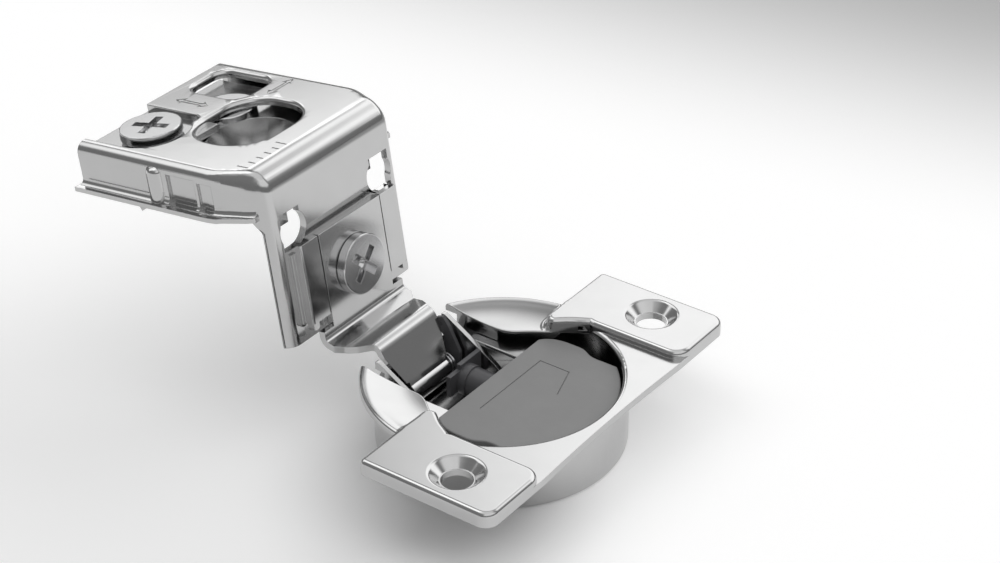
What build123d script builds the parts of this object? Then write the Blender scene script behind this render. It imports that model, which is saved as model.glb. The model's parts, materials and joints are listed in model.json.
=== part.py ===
"""Concealed cup hinge for a face-frame cabinet, shown open.

Millimetres. The origin is on the axis of the cup, in the plane of the door's
face that the two ears lie on. +X points from the frame bracket to the front
of the cup, Y runs along the pivot pin, +Z points out of the door.
"""
import os
from math import atan2, cos, degrees, hypot, radians, sin, sqrt, tan

from build123d import *

os.makedirs("parts", exist_ok=True)

# Cup and ears
CUP_D = 34.8            # outside of the cup, for a 35 mm bore
CUP_DEPTH = 9.0         # door face to the bottom of the cup
CUP_WALL = 0.9
FLOOR_T = 0.9
STRIP_T = 1.1           # flat flange around the cup
EAR_H = 2.2             # top of the raised ears above the door face
EAR_BACK = -2.4
EAR_FRONT = 18.5
EAR_IN = 16.0           # inner side of each ear
EAR_OUT = 27.8          # outer side of each ear
FRONT_DIP = 0.4         # hollow of the flange's front edge between the ears
HOLE_SPACING = 45.0
HOLE_X = 9.5
HOLE_R = 2.15
DIMPLE_R = 3.7
COLLAR_R = 19.3         # rolled collar behind the ears
COLLAR_ROLL = 0.5       # radius of its outer edge
DISH_LOW = 0.3          # lowest level of the collar's dish above the door face
EAR_ROLL = 0.7          # rounding of the ears' top edges
EAR_TURN = 1.3          # rounding of each ear's corner beside the opening, in plan
SLOT_HALF = 9.4         # half width of the rear notch that the arm passes
NOTCH_TOP = -2.3        # top of the cup's rear wall inside the notch
LIP_DROP = 1.7          # how far the notch's lips turn down into the cup

# Pivot
PIVOT_X = -13.5
PIVOT_Z = -5.7
PIN_R = 1.0
PIN_FIT = 0.05
KNUCKLE_R = 2.05
KNUCKLE_HALF = 4.0
CHEEK_IN = 7.1          # inner side of the carrier's cheeks
CHEEK_T = 0.7

# Bracket: an L that leans by TILT when the hinge is open
TILT = 8.0
CORNER_X = -29.1
CORNER_Z = 28.2
SHEET = 1.1
TOP_LEN = 32.8
TOP_HALF = 15.5
LEG_LEN = 26.3
LEG_HALF = 13.8
WALL_DROP = 6.0
FOOT_OUT = 17.0
FOOT_T = 1.0
LEG_LIP = 3.0
BEND_U = 6.0            # the side walls draw in towards the leg between BEND_U and NECK_U
NECK_U = 1.6
FOLD_R = 1.5            # outside of the fold between top plate, walls and leg
FOOT_R = 0.9            # hollow between the side walls and the foot flange

# Arm, guide and adjusting screws
ARM_T = 1.0
LEAF_HALF = 6.56
LEAF_TOP = 11.5         # from the bracket's corner down the leg
CREASE_HALF = 8.65
CREST_HALF = 6.06
GUIDE_T = 0.8
WING_HALF = 10.3
WING_END = 23.6
SIDE_POS = 18.8         # side screw, down the leg
RIVET_AWAY = 5.35       # from the side screw to each rivet of the guide
HEAD_R = 4.45
HEAD_T = 1.45
CAM_R = 1.9
SHANK_R = 1.3
SIDE_THROW = 1.5
DEPTH_THROW = 0.92
DEPTH_U = 25.6          # depth screw, from the bracket's corner
DEPTH_Y = -7.7
NOTCH_UP = 6.55         # depth screw to the far edge of its notch
NOTCH_DEEP = 3.7        # depth screw to the square end of its notch
STUD_U = 23.2
STUD_Y = 4.9
SLOT_U = 14.2           # centre of the mounting slot
GAP = 0.3               # running clearance

# Damper
COVER_TOP = -0.4
COVER_T = 1.2
COVER_BACK = -1.9
COVER_HALF = 11.4       # half width at the back edge
COVER_FLANK = 13.15     # half width at the two flanks
COVER_WAIST = 12.1      # half width in front of the flanks
SLED_X = -9.2           # back of the sled's cross plate, hinge open
SLED_TRAVEL = 4.8
BARREL_R = 2.1
BARREL_Y = 3.3
BARREL_Z = -5.1
BARREL_WALL = 0.75
PISTON_X = 0.2           # back of the piston, which stays in the cup
PISTON_LEN = 1.8

cup_r = CUP_D / 2
inner_r = cup_r - CUP_WALL
floor_z = FLOOR_T - CUP_DEPTH
LOW = (Align.CENTER, Align.CENTER, Align.MIN)


def slab(x0, x1, y0, y1, z0, z1):
    """Box from its six faces."""
    return Pos((x0 + x1) / 2, (y0 + y1) / 2, (z0 + z1) / 2) * Box(x1 - x0, y1 - y0, z1 - z0)


def both(shape):
    """The shape and its mirror image across the XZ plane."""
    return shape + mirror(shape, about=Plane.XZ)


def rod(x, y, z0, z1, r):
    """Upright cylinder from z0 to z1."""
    return Pos(x, y, z0) * Cylinder(r, z1 - z0, align=LOW)


def rod_y(x, z, y0, y1, r):
    """Cylinder along Y from y0 to y1."""
    return Pos(x, y0, z) * Rot(-90, 0, 0) * Cylinder(r, y1 - y0, align=LOW)


def rod_x(y, z, x0, x1, r):
    """Cylinder along X from x0 to x1."""
    return Pos(x0, y, z) * Rot(0, 90, 0) * Cylinder(r, x1 - x0, align=LOW)


def side_plate(points, y0, y1):
    """Plate drawn in the XZ plane, from y0 to y1."""
    face = make_face(Polyline(*[(x, 0, z) for x, z in points], close=True))
    return Pos(0, y0, 0) * extrude(face, amount=y1 - y0, dir=(0, 1, 0))


def flat_plate(points, z0, z1):
    """Plate drawn in plan, from z0 to z1."""
    face = make_face(Polyline(*[(x, y, 0) for x, y in points], close=True))
    return Pos(0, 0, z0) * extrude(face, amount=z1 - z0, dir=(0, 0, 1))


def soften(shape, edges, radius):
    """Fillet the edges, with smaller radii where the first does not fit."""
    edges = list(edges)
    for r in (radius, radius * 0.7, radius * 0.4):
        try:
            done = fillet(edges, r)
            if done.is_valid and done.volume > 0:
                return done
        except Exception:
            continue
    return shape


def bent_path(points, radius, shift):
    """Lines and arcs beside a path with rounded corners, shift to its left."""
    start = None
    edges = []
    n = len(points)
    dirs = []
    for a, b in zip(points, points[1:]):
        length = hypot(b[0] - a[0], b[1] - a[1])
        dirs.append(((b[0] - a[0]) / length, (b[1] - a[1]) / length))

    def aside(p, d):
        return (p[0] - d[1] * shift, 0, p[1] + d[0] * shift)

    here = aside(points[0], dirs[0])
    for i in range(1, n - 1):
        d1, d2 = dirs[i - 1], dirs[i]
        turn = atan2(d1[0] * d2[1] - d1[1] * d2[0], d1[0] * d2[0] + d1[1] * d2[1])
        sign = 1 if turn > 0 else -1
        reach = radius * tan(abs(turn) / 2)
        a = (points[i][0] - d1[0] * reach, points[i][1] - d1[1] * reach)
        b = (points[i][0] + d2[0] * reach, points[i][1] + d2[1] * reach)
        centre = (a[0] - d1[1] * radius * sign, a[1] + d1[0] * radius * sign)
        to_corner = (points[i][0] - centre[0], points[i][1] - centre[1])
        size = hypot(*to_corner)
        r = radius - sign * shift
        middle = (centre[0] + to_corner[0] / size * r, 0, centre[1] + to_corner[1] / size * r)
        edges.append(Line(here, aside(a, d1)))
        edges.append(ThreePointArc(aside(a, d1), middle, aside(b, d2)))
        here = aside(b, d2)
    end = aside(points[-1], dirs[-1])
    edges.append(Line(here, end))
    return edges, aside(points[0], dirs[0]), end


def bent_sheet(points, radius, thickness, half_width):
    """Sheet metal that follows a path in the XZ plane."""
    left, left_start, left_end = bent_path(points, radius, thickness / 2)
    right, right_start, right_end = bent_path(points, radius, -thickness / 2)
    outline = left + right + [Line(left_start, right_start), Line(left_end, right_end)]
    face = make_face(Wire(outline))
    return extrude(face, amount=half_width, dir=(0, 1, 0), both=True)


def cross_recess(x, y, top, turn, reach=2.75):
    """Tool for a cross-shaped driver recess in a head's top face."""
    tool = None
    for angle in (turn, turn + 90):
        bar = Pos(x, y, top) * Rot(0, 0, angle) * Box(2 * reach, 1.25, 2.0)
        tool = bar if tool is None else tool + bar
    point = Pos(x, y, top - 1.0) * Cone(0.5, 1.6, 1.0, align=(Align.CENTER, Align.CENTER, Align.CENTER))
    return tool + point


# The bracket's own frame: u outward from the leg's face, w up from the top plate
bracket_frame = Location((CORNER_X, 0, CORNER_Z), (0, -TILT, 0))


def to_world(u, w):
    """A point of the bracket's frame as (x, z)."""
    c, s = cos(radians(TILT)), sin(radians(TILT))
    return CORNER_X + u * c - w * s, CORNER_Z + u * s + w * c


# Far side of the curve by which the cup's opening narrows to the notch
KNEE = [(1.3, 14.9), (-0.9, 13.2), (-2.9, 11.9), (-4.9, 10.3), (-7.6, SLOT_HALF)]


def make_collar():
    """Dished collar with a rolled outer edge, turned about the cup's axis."""
    r = COLLAR_R - COLLAR_ROLL
    top = STRIP_T - 0.05
    dish = [(r, 0, top), (17.6, 0, top - 0.2), (15.2, 0, DISH_LOW + 0.14), (13.2, 0, DISH_LOW),
            (11.2, 0, DISH_LOW + 0.1), (8.0, 0, DISH_LOW + 0.5)]
    section = [
        Line((8.0, 0, -0.5), (inner_r, 0, -0.5)),
        Line((inner_r, 0, -0.5), (inner_r + 0.3, 0, 0)),
        Line((inner_r + 0.3, 0, 0), (COLLAR_R, 0, 0)),
        Line((COLLAR_R, 0, 0), (COLLAR_R, 0, top - COLLAR_ROLL)),
        ThreePointArc((COLLAR_R, 0, top - COLLAR_ROLL),
                      (r + COLLAR_ROLL * cos(radians(45)), 0, top - COLLAR_ROLL * (1 - sin(radians(45)))),
                      (r, 0, top)),
        Spline(dish, tangents=[(-1, 0, 0), (-1, 0, 0.12)]),
        Line((8.0, 0, DISH_LOW + 0.5), (8.0, 0, -0.5)),
    ]
    ring = revolve(make_face(Wire(section)), axis=Axis.Z, revolution_arc=360)
    rear = slab(-COLLAR_R - 1, EAR_BACK + 1, -COLLAR_R, COLLAR_R, -1, 2)
    return ring & (rear + slab(EAR_BACK, KNEE[0][0] + 0.5, -EAR_IN + 0.5, EAR_IN - 0.5, -1, 2))


# Cup shell: cup, flange strip, two raised ears and the collar behind them
def make_cup():
    strip_outline = [
        Line((EAR_BACK, -EAR_OUT, 0), (EAR_BACK, EAR_OUT, 0)),
        Line((EAR_BACK, EAR_OUT, 0), (EAR_FRONT, EAR_OUT, 0)),
        Line((EAR_FRONT, EAR_OUT, 0), (EAR_FRONT, EAR_IN, 0)),
        ThreePointArc((EAR_FRONT, EAR_IN, 0), (EAR_FRONT - FRONT_DIP, 0, 0), (EAR_FRONT, -EAR_IN, 0)),
        Line((EAR_FRONT, -EAR_IN, 0), (EAR_FRONT, -EAR_OUT, 0)),
        Line((EAR_FRONT, -EAR_OUT, 0), (EAR_BACK, -EAR_OUT, 0)),
    ]
    strip = extrude(make_face(Wire(strip_outline)), amount=STRIP_T, dir=(0, 0, 1))
    for y in (EAR_OUT, -EAR_OUT):
        front = strip.edges().filter_by(Axis.Z).sort_by_distance((EAR_FRONT, y, STRIP_T / 2))[0]
        strip = soften(strip, [front], 2.0)
        back = strip.edges().filter_by(Axis.Z).sort_by_distance((EAR_BACK, y, STRIP_T / 2))[0]
        strip = soften(strip, [back], 0.8)
    ear = slab(EAR_BACK, EAR_FRONT, EAR_IN, EAR_OUT, 0, EAR_H)
    for x, y, r in ((EAR_FRONT, EAR_OUT, 2.0), (EAR_FRONT, EAR_IN, 2.4), (EAR_BACK, EAR_OUT, 0.8)):
        corner = ear.edges().filter_by(Axis.Z).sort_by_distance((x, y, EAR_H / 2))[0]
        ear = soften(ear, [corner], r)
    # each ear reaches inwards to the opening, with a round corner that leads into it
    cx, cy, r = EAR_BACK + EAR_TURN, EAR_IN - 1.45, EAR_TURN
    reach = [
        Line((EAR_BACK, EAR_IN + 1, 0), (EAR_BACK, cy, 0)),
        ThreePointArc((EAR_BACK, cy, 0), (cx - r * cos(radians(26)), cy - r * sin(radians(26)), 0),
                      (cx + r * sin(radians(37.5)), cy - r * cos(radians(37.5)), 0)),
        Line((cx + r * sin(radians(37.5)), cy - r * cos(radians(37.5)), 0), (0.5, 12, 0)),
        Line((0.5, 12, 0), (3.4, 12, 0)),
        Line((3.4, 12, 0), (3.4, EAR_IN + 1, 0)),
        Line((3.4, EAR_IN + 1, 0), (EAR_BACK, EAR_IN + 1, 0)),
    ]
    ear = ear + extrude(make_face(Wire(reach)), amount=EAR_H, dir=(0, 0, 1))
    strip = strip - slab(EAR_BACK - 1, KNEE[0][0], -EAR_IN + 1, EAR_IN - 1, -1, 2)
    outside = strip + make_collar() + both(ear) + rod(0, 0, -CUP_DEPTH, 0, cup_r)

    # opening of the cup: round in front, drawn in to the notch behind
    a = radians(78)
    xs, ys = inner_r * cos(a), inner_r * sin(a)
    out_x = -COLLAR_R - 2
    opening = [
        ThreePointArc((xs, -ys, 0), (inner_r, 0, 0), (xs, ys, 0)),
        Spline([(xs, ys, 0)] + [(x, y, 0) for x, y in KNEE], tangents=[(-0.9, -0.6, 0), (-1, 0, 0)]),
        Line((KNEE[-1][0], SLOT_HALF, 0), (out_x, SLOT_HALF, 0)),
        Line((out_x, SLOT_HALF, 0), (out_x, -SLOT_HALF, 0)),
        Line((out_x, -SLOT_HALF, 0), (KNEE[-1][0], -SLOT_HALF, 0)),
        Spline([(KNEE[-1][0], -SLOT_HALF, 0)] + [(x, -y, 0) for x, y in KNEE[-2::-1]] + [(xs, -ys, 0)],
               tangents=[(1, 0, 0), (0.9, -0.6, 0)]),
    ]
    mouth = extrude(make_face(Wire(opening)), amount=EAR_H + 1.5, dir=(0, 0, 1))
    shell = outside - rod(0, 0, floor_z, -0.001, inner_r) - Pos(0, 0, -0.7) * mouth
    # lips that turn down into the cup beside the notch, and the open rear wall
    lip = slab(-14.6, KNEE[-1][0], SLOT_HALF, SLOT_HALF + 1.2, -LIP_DROP, 0.01)
    shell = shell + both(lip & rod(0, 0, -LIP_DROP, 1, cup_r))
    shell = shell - slab(out_x, -cup_r + 4, -SLOT_HALF, SLOT_HALF, NOTCH_TOP, EAR_H)

    # rolled edges: the notch with the curves beside it, the step up to the ears, the ears' tops
    lips = [e for e in shell.edges() if 0.1 < e.center().Z < STRIP_T and e.center().X < 0 and e.length > 2
            and SLOT_HALF - 0.01 < abs(e.center().Y) < 13.5 and abs(e.tangent_at(0.5).Z) < 0.5
            and hypot(e.center().X, e.center().Y) < inner_r + 1]
    shell = soften(shell, lips, 0.45)
    step = [e for e in shell.edges() if EAR_BACK - 0.02 < e.center().X < 0 and e.length > 0.5
            and 0.2 < e.center().Z < STRIP_T and 13 < abs(e.center().Y) < COLLAR_R]
    shell = soften(shell, step, 1.0)
    for side in (1, -1):
        tops = [e for e in shell.edges() if abs(e.center().Z - EAR_H) < 0.01 and e.center().Y * side > 0]
        shell = soften(shell, tops, EAR_ROLL)
    # the cup's rim between the ears is rounded into the cup
    arc = 0.6
    rim = make_face(Wire([
        Line((inner_r - 1, 0, STRIP_T + 0.01), (inner_r + arc, 0, STRIP_T + 0.01)),
        Line((inner_r + arc, 0, STRIP_T + 0.01), (inner_r + arc, 0, STRIP_T)),
        ThreePointArc((inner_r + arc, 0, STRIP_T),
                      (inner_r + arc * (1 - cos(radians(45))), 0, STRIP_T - arc * (1 - sin(radians(45)))),
                      (inner_r, 0, STRIP_T - arc)),
        Line((inner_r, 0, STRIP_T - arc), (inner_r - 1, 0, STRIP_T - arc)),
        Line((inner_r - 1, 0, STRIP_T - arc), (inner_r - 1, 0, STRIP_T + 0.01)),
    ]))
    shell = shell - (revolve(rim, axis=Axis.Z) & slab(0, cup_r + 2, -EAR_IN, EAR_IN, 0, STRIP_T + 1))
    base = [e for e in shell.edges().filter_by(GeomType.CIRCLE)
            if abs(e.radius - cup_r) < 0.01 and abs(e.center().Z + CUP_DEPTH) < 0.01]
    shell = soften(shell, base, 0.8)

    # screw holes in a dimple that reaches down to the door face
    hole_y = HOLE_SPACING / 2
    hollow = slab(EAR_BACK + 1.1, EAR_FRONT - 1.1, cup_r + 0.8, EAR_OUT - 1.1, -1, EAR_H - STRIP_T)
    hollow = soften(hollow, hollow.edges().filter_by(Axis.Z), 1.0)
    hollow = hollow - rod(HOLE_X, hole_y, -2, EAR_H, DIMPLE_R - 0.2)
    dimple = Pos(HOLE_X, hole_y, EAR_H) * Cone(
        HOLE_R + 0.2, DIMPLE_R, 1.25, align=(Align.CENTER, Align.CENTER, Align.MAX))
    hole = rod(HOLE_X, hole_y, -1, EAR_H + 1, HOLE_R)
    shell = shell - both(hollow) - both(dimple) - both(hole)
    rims = [e for e in shell.edges().filter_by(GeomType.CIRCLE)
            if abs(e.radius - DIMPLE_R) < 0.02 and abs(e.center().Z - EAR_H) < 0.01]
    return soften(shell, rims, 0.6)


# Parts inside the cup
def make_carrier():
    cheek = side_plate(
        [(-14.0, floor_z), (-14.0, -0.3), (-15.6, -0.1), (-15.6, 1.0), (-15.0, 1.0), (-6.4, -4.1),
         (-4.6, -5.6), (-4.6, floor_z)], CHEEK_IN, CHEEK_IN + CHEEK_T)
    out = CHEEK_IN + CHEEK_T
    base = slab(PIVOT_X + KNUCKLE_R + GAP + 0.25, -4.6, -out, out, floor_z, floor_z + 0.5)
    carrier = both(cheek) + base
    bore = rod_y(PIVOT_X, PIVOT_Z, -out - 1, out + 1, PIN_R + 0.02)
    return carrier - bore


def make_pin():
    end = CHEEK_IN + CHEEK_T
    pin = rod_y(PIVOT_X, PIVOT_Z, -end, end, PIN_R)
    return chamfer(pin.edges().filter_by(GeomType.CIRCLE), 0.2)


def make_torsion_spring(side):
    """Coil around the pin beside the knuckle, one leg on the floor, one behind the arm."""
    wire = 0.25
    coil_r = PIN_R + 0.28 + wire
    pitch = 2 * wire + 0.05
    turns = 2.25
    y0 = KNUCKLE_HALF + GAP + wire
    helix = Helix(pitch=pitch, height=pitch * turns, radius=coil_r, lefthand=True)
    back_leg = Line(helix @ 0 - (helix % 0) * 2.6, helix @ 0)
    floor_leg = Line(helix @ 1, helix @ 1 + (helix % 1) * 2.2)
    path = Wire([back_leg, helix.edge(), floor_leg])
    profile = Plane(origin=path @ 0, z_dir=path % 0) * Circle(wire)
    spring = Pos(PIVOT_X, y0, PIVOT_Z) * Rot(0, 180, 0) * Rot(-90, 0, 0) * sweep(profile, path=path, is_frenet=True)
    return spring if side > 0 else mirror(spring, about=Plane.XZ)


def make_arm():
    leaf_u = 0.84 + ARM_T / 2
    top = to_world(leaf_u, -LEAF_TOP)
    crease = to_world(leaf_u, -LEG_LEN - 1.0)
    low = (crease[0] + 3.0, crease[1] - 0.65)
    crest = (PIVOT_X - 3.25, PIVOT_Z + 7.7)
    foot = (PIVOT_X + 1.12, PIVOT_Z + 0.7)
    arm = bent_sheet([top, crease, low, crest, foot], 1.25, ARM_T, CREASE_HALF)
    # widths: leaf, shoulder, neck, crest and the taper to the knuckle
    leaf_cut = slab(-3, 6, LEAF_HALF, CREASE_HALF + 1, -LEG_LEN + 0.7, 1)
    arm = arm - bracket_frame * both(leaf_cut)
    neck = flat_plate(
        [(crease[0] + 1.9, CREASE_HALF + 1), (crease[0] + 1.9, CREASE_HALF), (crease[0] + 2.9, 7.7),
         (crest[0] - 2.2, 7.2), (crest[0] - 0.3, CREST_HALF), (PIVOT_X + 4, CREST_HALF),
         (PIVOT_X + 4, CREASE_HALF + 1)], PIVOT_Z - 4, CORNER_Z)
    arm = arm - both(neck)
    taper = Plane.YZ * make_face(Polyline(
        (CREST_HALF + 0.01, crest[1] - 1.4), (4.5, PIVOT_Z + 2.4), (KNUCKLE_HALF, PIVOT_Z + 2.2),
        (KNUCKLE_HALF, PIVOT_Z - 3), (CREST_HALF + 2, PIVOT_Z - 3), (CREST_HALF + 2, crest[1] - 1.4),
        close=True))
    taper = Pos(PIVOT_X - 5, 0, 0) * extrude(taper, amount=9, dir=(1, 0, 0))
    arm = arm - both(taper)
    knuckle = rod_y(PIVOT_X, PIVOT_Z, -KNUCKLE_HALF, KNUCKLE_HALF, KNUCKLE_R)
    arm = arm + knuckle
    arm = arm - rod_y(PIVOT_X, PIVOT_Z, -9, 9, PIN_R + PIN_FIT)
    # slot for the side screw's cam
    reach = CAM_R + GAP
    slot = slab(-1, 3, SIDE_THROW / 2 - reach, SIDE_THROW + reach, -SIDE_POS - reach, -SIDE_POS + reach)
    slot = soften(slot, slot.edges().filter_by(Axis.X), reach - 0.01)
    return arm - bracket_frame * slot


def make_actuator():
    """Plate beside the arm that meets the damper's sled as the door closes."""
    y0, y1 = CREST_HALF + 0.12, CREST_HALF + 0.74
    px, pz = PIVOT_X, PIVOT_Z
    plate = side_plate(
        [(px - 1.1, pz - 1.0), (px - 1.1, pz + 3.9), (px - 2.2, pz + 5.2), (px - 2.4, pz + 6.4),
         (px - 1.2, pz + 6.9), (px - 0.2, pz + 5.6), (px + 1.7, pz + 2.0), (px + 1.6, pz - 0.9)], y0, y1)
    # ear that carries the plate on the arm's edge
    ear = side_plate([(px - 2.2, pz + 5.3), (px - 2.4, pz + 6.2), (px - 1.6, pz + 6.4), (px - 1.3, pz + 5.5)],
                     CREST_HALF, y0 + 0.01)
    plate = plate + ear
    return plate - rod_y(px, pz, y0 - 1, y1 + 1, PIN_R + PIN_FIT)


def cover_outline(inset):
    """Plan of the soft-close cover, smaller by inset."""
    r = inner_r - GAP - inset
    half = COVER_HALF - inset
    flank = COVER_FLANK - inset
    waist = COVER_WAIST - inset
    x1 = sqrt(r * r - waist * waist)
    back = COVER_BACK + inset
    side = [(back, half), (0.3, flank - 0.25), (3.0, flank), (4.9, flank - 0.2), (6.3, waist + 0.15), (8.4, waist),
            (x1, waist)]
    return [
        Line((back, -half, 0), (back, half, 0)),
        Spline([(x, y, 0) for x, y in side], tangents=[(0.6, 0.8, 0), (1, 0, 0)]),
        ThreePointArc((x1, waist, 0), (r, 0, 0), (x1, -waist, 0)),
        Spline([(x, -y, 0) for x, y in side[::-1]], tangents=[(-1, 0, 0), (-0.6, 0.8, 0)]),
    ]


def make_cover():
    plate = extrude(make_face(Wire(cover_outline(0))), amount=COVER_T, dir=(0, 0, 1))
    plate = Pos(0, 0, COVER_TOP - COVER_T) * plate
    plate = soften(plate, plate.faces().sort_by(Axis.Z)[-1].edges(), 0.2)
    # fine engraved line in the top face
    corners = [(1.4, -6.6), (1.4, 7.2), (6.2, 7.2), (7.9, 2.0)]
    for (xa, ya), (xb, yb) in zip(corners, corners[1:]):
        length = hypot(xb - xa, yb - ya) + 0.14
        angle = degrees(atan2(yb - ya, xb - xa))
        groove = Pos((xa + xb) / 2, (ya + yb) / 2, COVER_TOP) * Rot(0, 0, angle) * Box(length, 0.14, 0.2)
        plate = plate - groove
    return plate


def make_tray():
    """Damper housing under the cover, with the bore that guides the sled."""
    depth = COVER_TOP - COVER_T - floor_z
    tray = Pos(0, 0, floor_z) * extrude(make_face(Wire(cover_outline(0.6))), amount=depth, dir=(0, 0, 1))
    tray = tray - slab(6.5, 17, -17, -5.5, -9, -2.6) - slab(6.5, 17, BARREL_Y + 6.5, 17, -9, -2.6)
    tray = tray - slab(-5, 5.5, -14, BARREL_Y - BARREL_R - 1.6, -9, -2.8)
    tray = tray - slab(-5, 5.5, BARREL_Y + BARREL_R + 1.6, 14, -9, -2.8)
    bore = rod_x(BARREL_Y, BARREL_Z, -6, 12.6, BARREL_R + 0.08)
    return tray - bore


def make_sled():
    """Cross plate and barrel of the damper."""
    plate = slab(SLED_X, SLED_X + 0.7, BARREL_Y - 3.6, CHEEK_IN - GAP, BARREL_Z - 1.2, -3.1)
    step = slab(SLED_X, SLED_X + 0.7, BARREL_Y - 1.2, CHEEK_IN - GAP, -3.2, -2.3)
    barrel = rod_x(BARREL_Y, BARREL_Z, SLED_X + 0.5, 6.6, BARREL_R)
    collar = rod_x(BARREL_Y, BARREL_Z, SLED_X + 0.5, SLED_X + 2.0, BARREL_R + 0.2)
    sled = plate + step + barrel + collar
    sled = soften(sled, sled.faces().sort_by(Axis.X)[-1].edges(), 0.3)
    return sled - rod_x(BARREL_Y, BARREL_Z, PISTON_X - SLED_TRAVEL - 1.6, 8, BARREL_R - BARREL_WALL)


def make_rod():
    """Piston rod fixed in the front of the housing."""
    rod_part = rod_x(BARREL_Y, BARREL_Z, PISTON_X + 1, 12.6, 0.6)
    head = rod_x(BARREL_Y, BARREL_Z, 11.8, 12.6, 1.7)
    piston = rod_x(BARREL_Y, BARREL_Z, PISTON_X, PISTON_X + PISTON_LEN, BARREL_R - BARREL_WALL - 0.15)
    return rod_part + head + piston


def make_seal():
    ring = rod_x(BARREL_Y, BARREL_Z, PISTON_X + 0.5, PISTON_X + 1.3, BARREL_R - BARREL_WALL - 0.03)
    return ring - rod_x(BARREL_Y, BARREL_Z, PISTON_X, PISTON_X + PISTON_LEN, BARREL_R - BARREL_WALL - 0.15)


def make_damper_spring():
    """Return spring in the barrel, between its bottom and the piston."""
    wire = 0.2
    x0 = PISTON_X - SLED_TRAVEL - 1.6 + wire + 0.05
    x1 = PISTON_X - wire - 0.05
    turns = 4
    helix = Helix(pitch=(x1 - x0) / turns, height=x1 - x0, radius=BARREL_R - BARREL_WALL - wire - 0.1)
    profile = Plane(origin=helix @ 0, z_dir=helix % 0) * Circle(wire)
    coil = sweep(profile, path=helix)
    return Pos(x0, BARREL_Y, BARREL_Z) * Rot(0, 90, 0) * coil


# Bracket pieces are drawn in the bracket's own frame and turned into place
def bracket_plan(half_top, half_leg, u0, u1, bend):
    """Half plan of the bracket: wide over the top plate, narrower at the leg."""
    return [(u0, -half_top), (u0, half_top), (-bend, half_top), (-NECK_U, half_leg), (u1, half_leg),
            (u1, -half_leg), (-NECK_U, -half_leg), (-bend, -half_top)]


def arrow_plate(tip, back, barb, shaft, depth):
    """Two-headed arrow along X: reach of its tips and of the heads' backs, half widths of heads and shaft."""
    return flat_plate([(-tip, 0), (-back, barb), (-back, shaft), (back, shaft), (back, barb), (tip, 0),
                       (back, -barb), (back, -shaft), (-back, -shaft), (-back, -barb)], -depth, depth)


def arrow_groove(length, width, head, line=0.24, depth=0.15):
    """Tool for the engraved outline of a two-headed arrow along X."""
    tip, barb, shaft = length / 2, width / 2, width / 5
    slope = atan2(barb, head)
    inner_tip, inner_back = tip - line / sin(slope), tip - head + line
    core = arrow_plate(inner_tip, inner_back, (inner_tip - inner_back) * tan(slope), shaft - line, 2 * depth)
    return arrow_plate(tip, tip - head, barb, shaft, depth) - core


def hollow_bead(plan, level, r):
    """Metal in the hollow corner between an upright wall and the flange at its foot."""
    lap = 0.05
    path = Polyline(*[(x, y, level) for x, y in plan])
    corner = [
        Line((-lap, -lap), (r, -lap)),
        Line((r, -lap), (r, 0)),
        ThreePointArc((r, 0), (r * (1 - cos(radians(45))), r * (1 - sin(radians(45)))), (0, r)),
        Line((0, r), (-lap, r)),
        Line((-lap, r), (-lap, -lap)),
    ]
    section = Plane(origin=path @ 0, x_dir=(0, 1, 0), z_dir=path % 0) * make_face(Wire(corner))
    return sweep(section, path=path, transition=Transition.RIGHT)


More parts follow.
